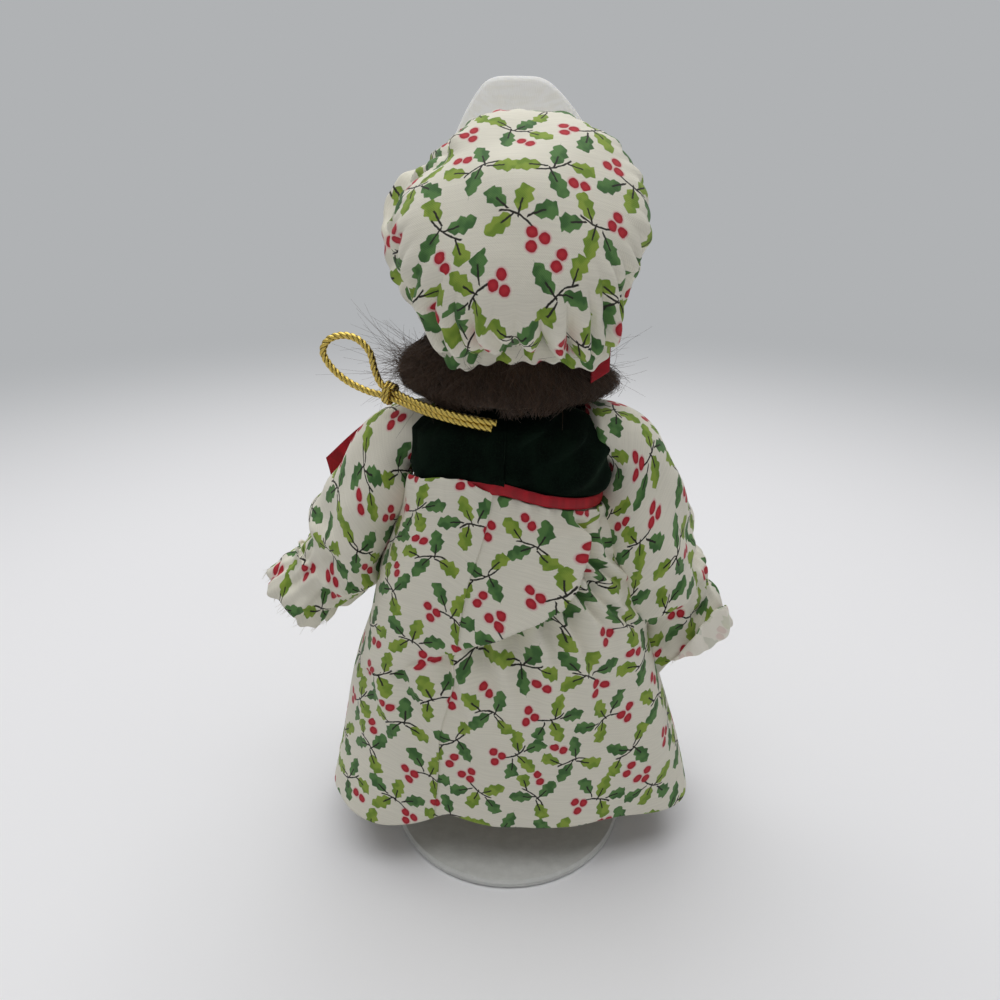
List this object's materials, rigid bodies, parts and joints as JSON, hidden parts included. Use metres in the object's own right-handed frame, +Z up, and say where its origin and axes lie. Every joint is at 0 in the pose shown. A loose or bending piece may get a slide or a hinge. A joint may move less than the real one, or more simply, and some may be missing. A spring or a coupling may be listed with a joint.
{
  "type": "porcelain doll ornament",
  "caption": "Porcelain doll ornament in a holly-print dress and mob cap, with a gold hanging cord, lifting off a small disc stand; head, arms and legs move.",
  "frame": {"origin": "centre of the stand disc's underside", "axes": "+Z up, the doll faces -Y, its left side is on +X"},
  "size_m": [0.0949, 0.0508, 0.1491],
  "materials": {
    "porcelain": "bisque porcelain with painted details",
    "muslin": "plain cotton, stuffed",
    "thread": "plain thread",
    "holly_print": "cotton printed with holly sprigs and berries",
    "cream_cotton": "plain stiffened cotton",
    "velvet": "near-black green velvet",
    "red_satin": "satin ribbon",
    "wig_fibre": "fuzzy brown fibre",
    "gold_cord": "twisted metallic thread",
    "stand_white": "moulded white plastic",
    "wire_white": "white-coated wire"
  },
  "bodies": {
    "stand": {"stand_base": "stand_white", "stand_wire": "wire_white"},
    "torso": {"body_torso": "muslin", "neck_thread": "thread", "bodice": "velvet", "waist_ribbon": "red_satin", "skirt": "holly_print", "bow_knot": "red_satin", "bow_loop_left": "red_satin", "bow_loop_right": "red_satin", "bow_tail_left": "red_satin", "bow_tail_right": "red_satin", "hanging_cord": "gold_cord", "hanging_knot": "gold_cord"},
    "head": {"head": "porcelain", "wig": "wig_fibre", "cap_crown": "holly_print", "cap_elastic": "thread", "cap_frill": "holly_print", "cap_brim": "cream_cotton", "cap_ribbon": "red_satin"},
    "arm_left": {"upper_arm_left": "muslin", "forearm_left": "porcelain", "sleeve_left": "holly_print", "wrist_elastic_left": "thread"},
    "arm_right": {"upper_arm_right": "muslin", "forearm_right": "porcelain", "sleeve_right": "holly_print", "wrist_elastic_right": "thread"},
    "leg_left": {"upper_leg_left": "muslin", "lower_leg_left": "porcelain"},
    "leg_right": {"upper_leg_right": "muslin", "lower_leg_right": "porcelain"}
  },
  "joints": [
    {"name": "doll_lift", "type": "slide", "parent": "stand", "child": "torso", "axis": [0, 0, 1], "range_m": [0, 0.06]},
    {"name": "head_turn", "type": "hinge", "parent": "torso", "child": "head", "pos_m": [0, 0, 0.0962], "axis": [0, 0, 1], "range_deg": [-25, 25]},
    {"name": "arm_left_swing", "type": "hinge", "parent": "torso", "child": "arm_left", "pos_m": [0.01565, 0, 0.0895], "axis": [-1, 0, 0], "range_deg": [-25, 75], "deforming": ["bow_tail_left"]},
    {"name": "arm_right_swing", "type": "hinge", "parent": "torso", "child": "arm_right", "pos_m": [-0.01565, 0, 0.0895], "axis": [-1, 0, 0], "range_deg": [-25, 75]},
    {"name": "leg_left_swing", "type": "hinge", "parent": "torso", "child": "leg_left", "pos_m": [0.007, 0, 0.0487], "axis": [-1, 0, 0], "range_deg": [-12, 15]},
    {"name": "leg_right_swing", "type": "hinge", "parent": "torso", "child": "leg_right", "pos_m": [-0.007, 0, 0.0487], "axis": [-1, 0, 0], "range_deg": [-12, 15]}
  ]
}
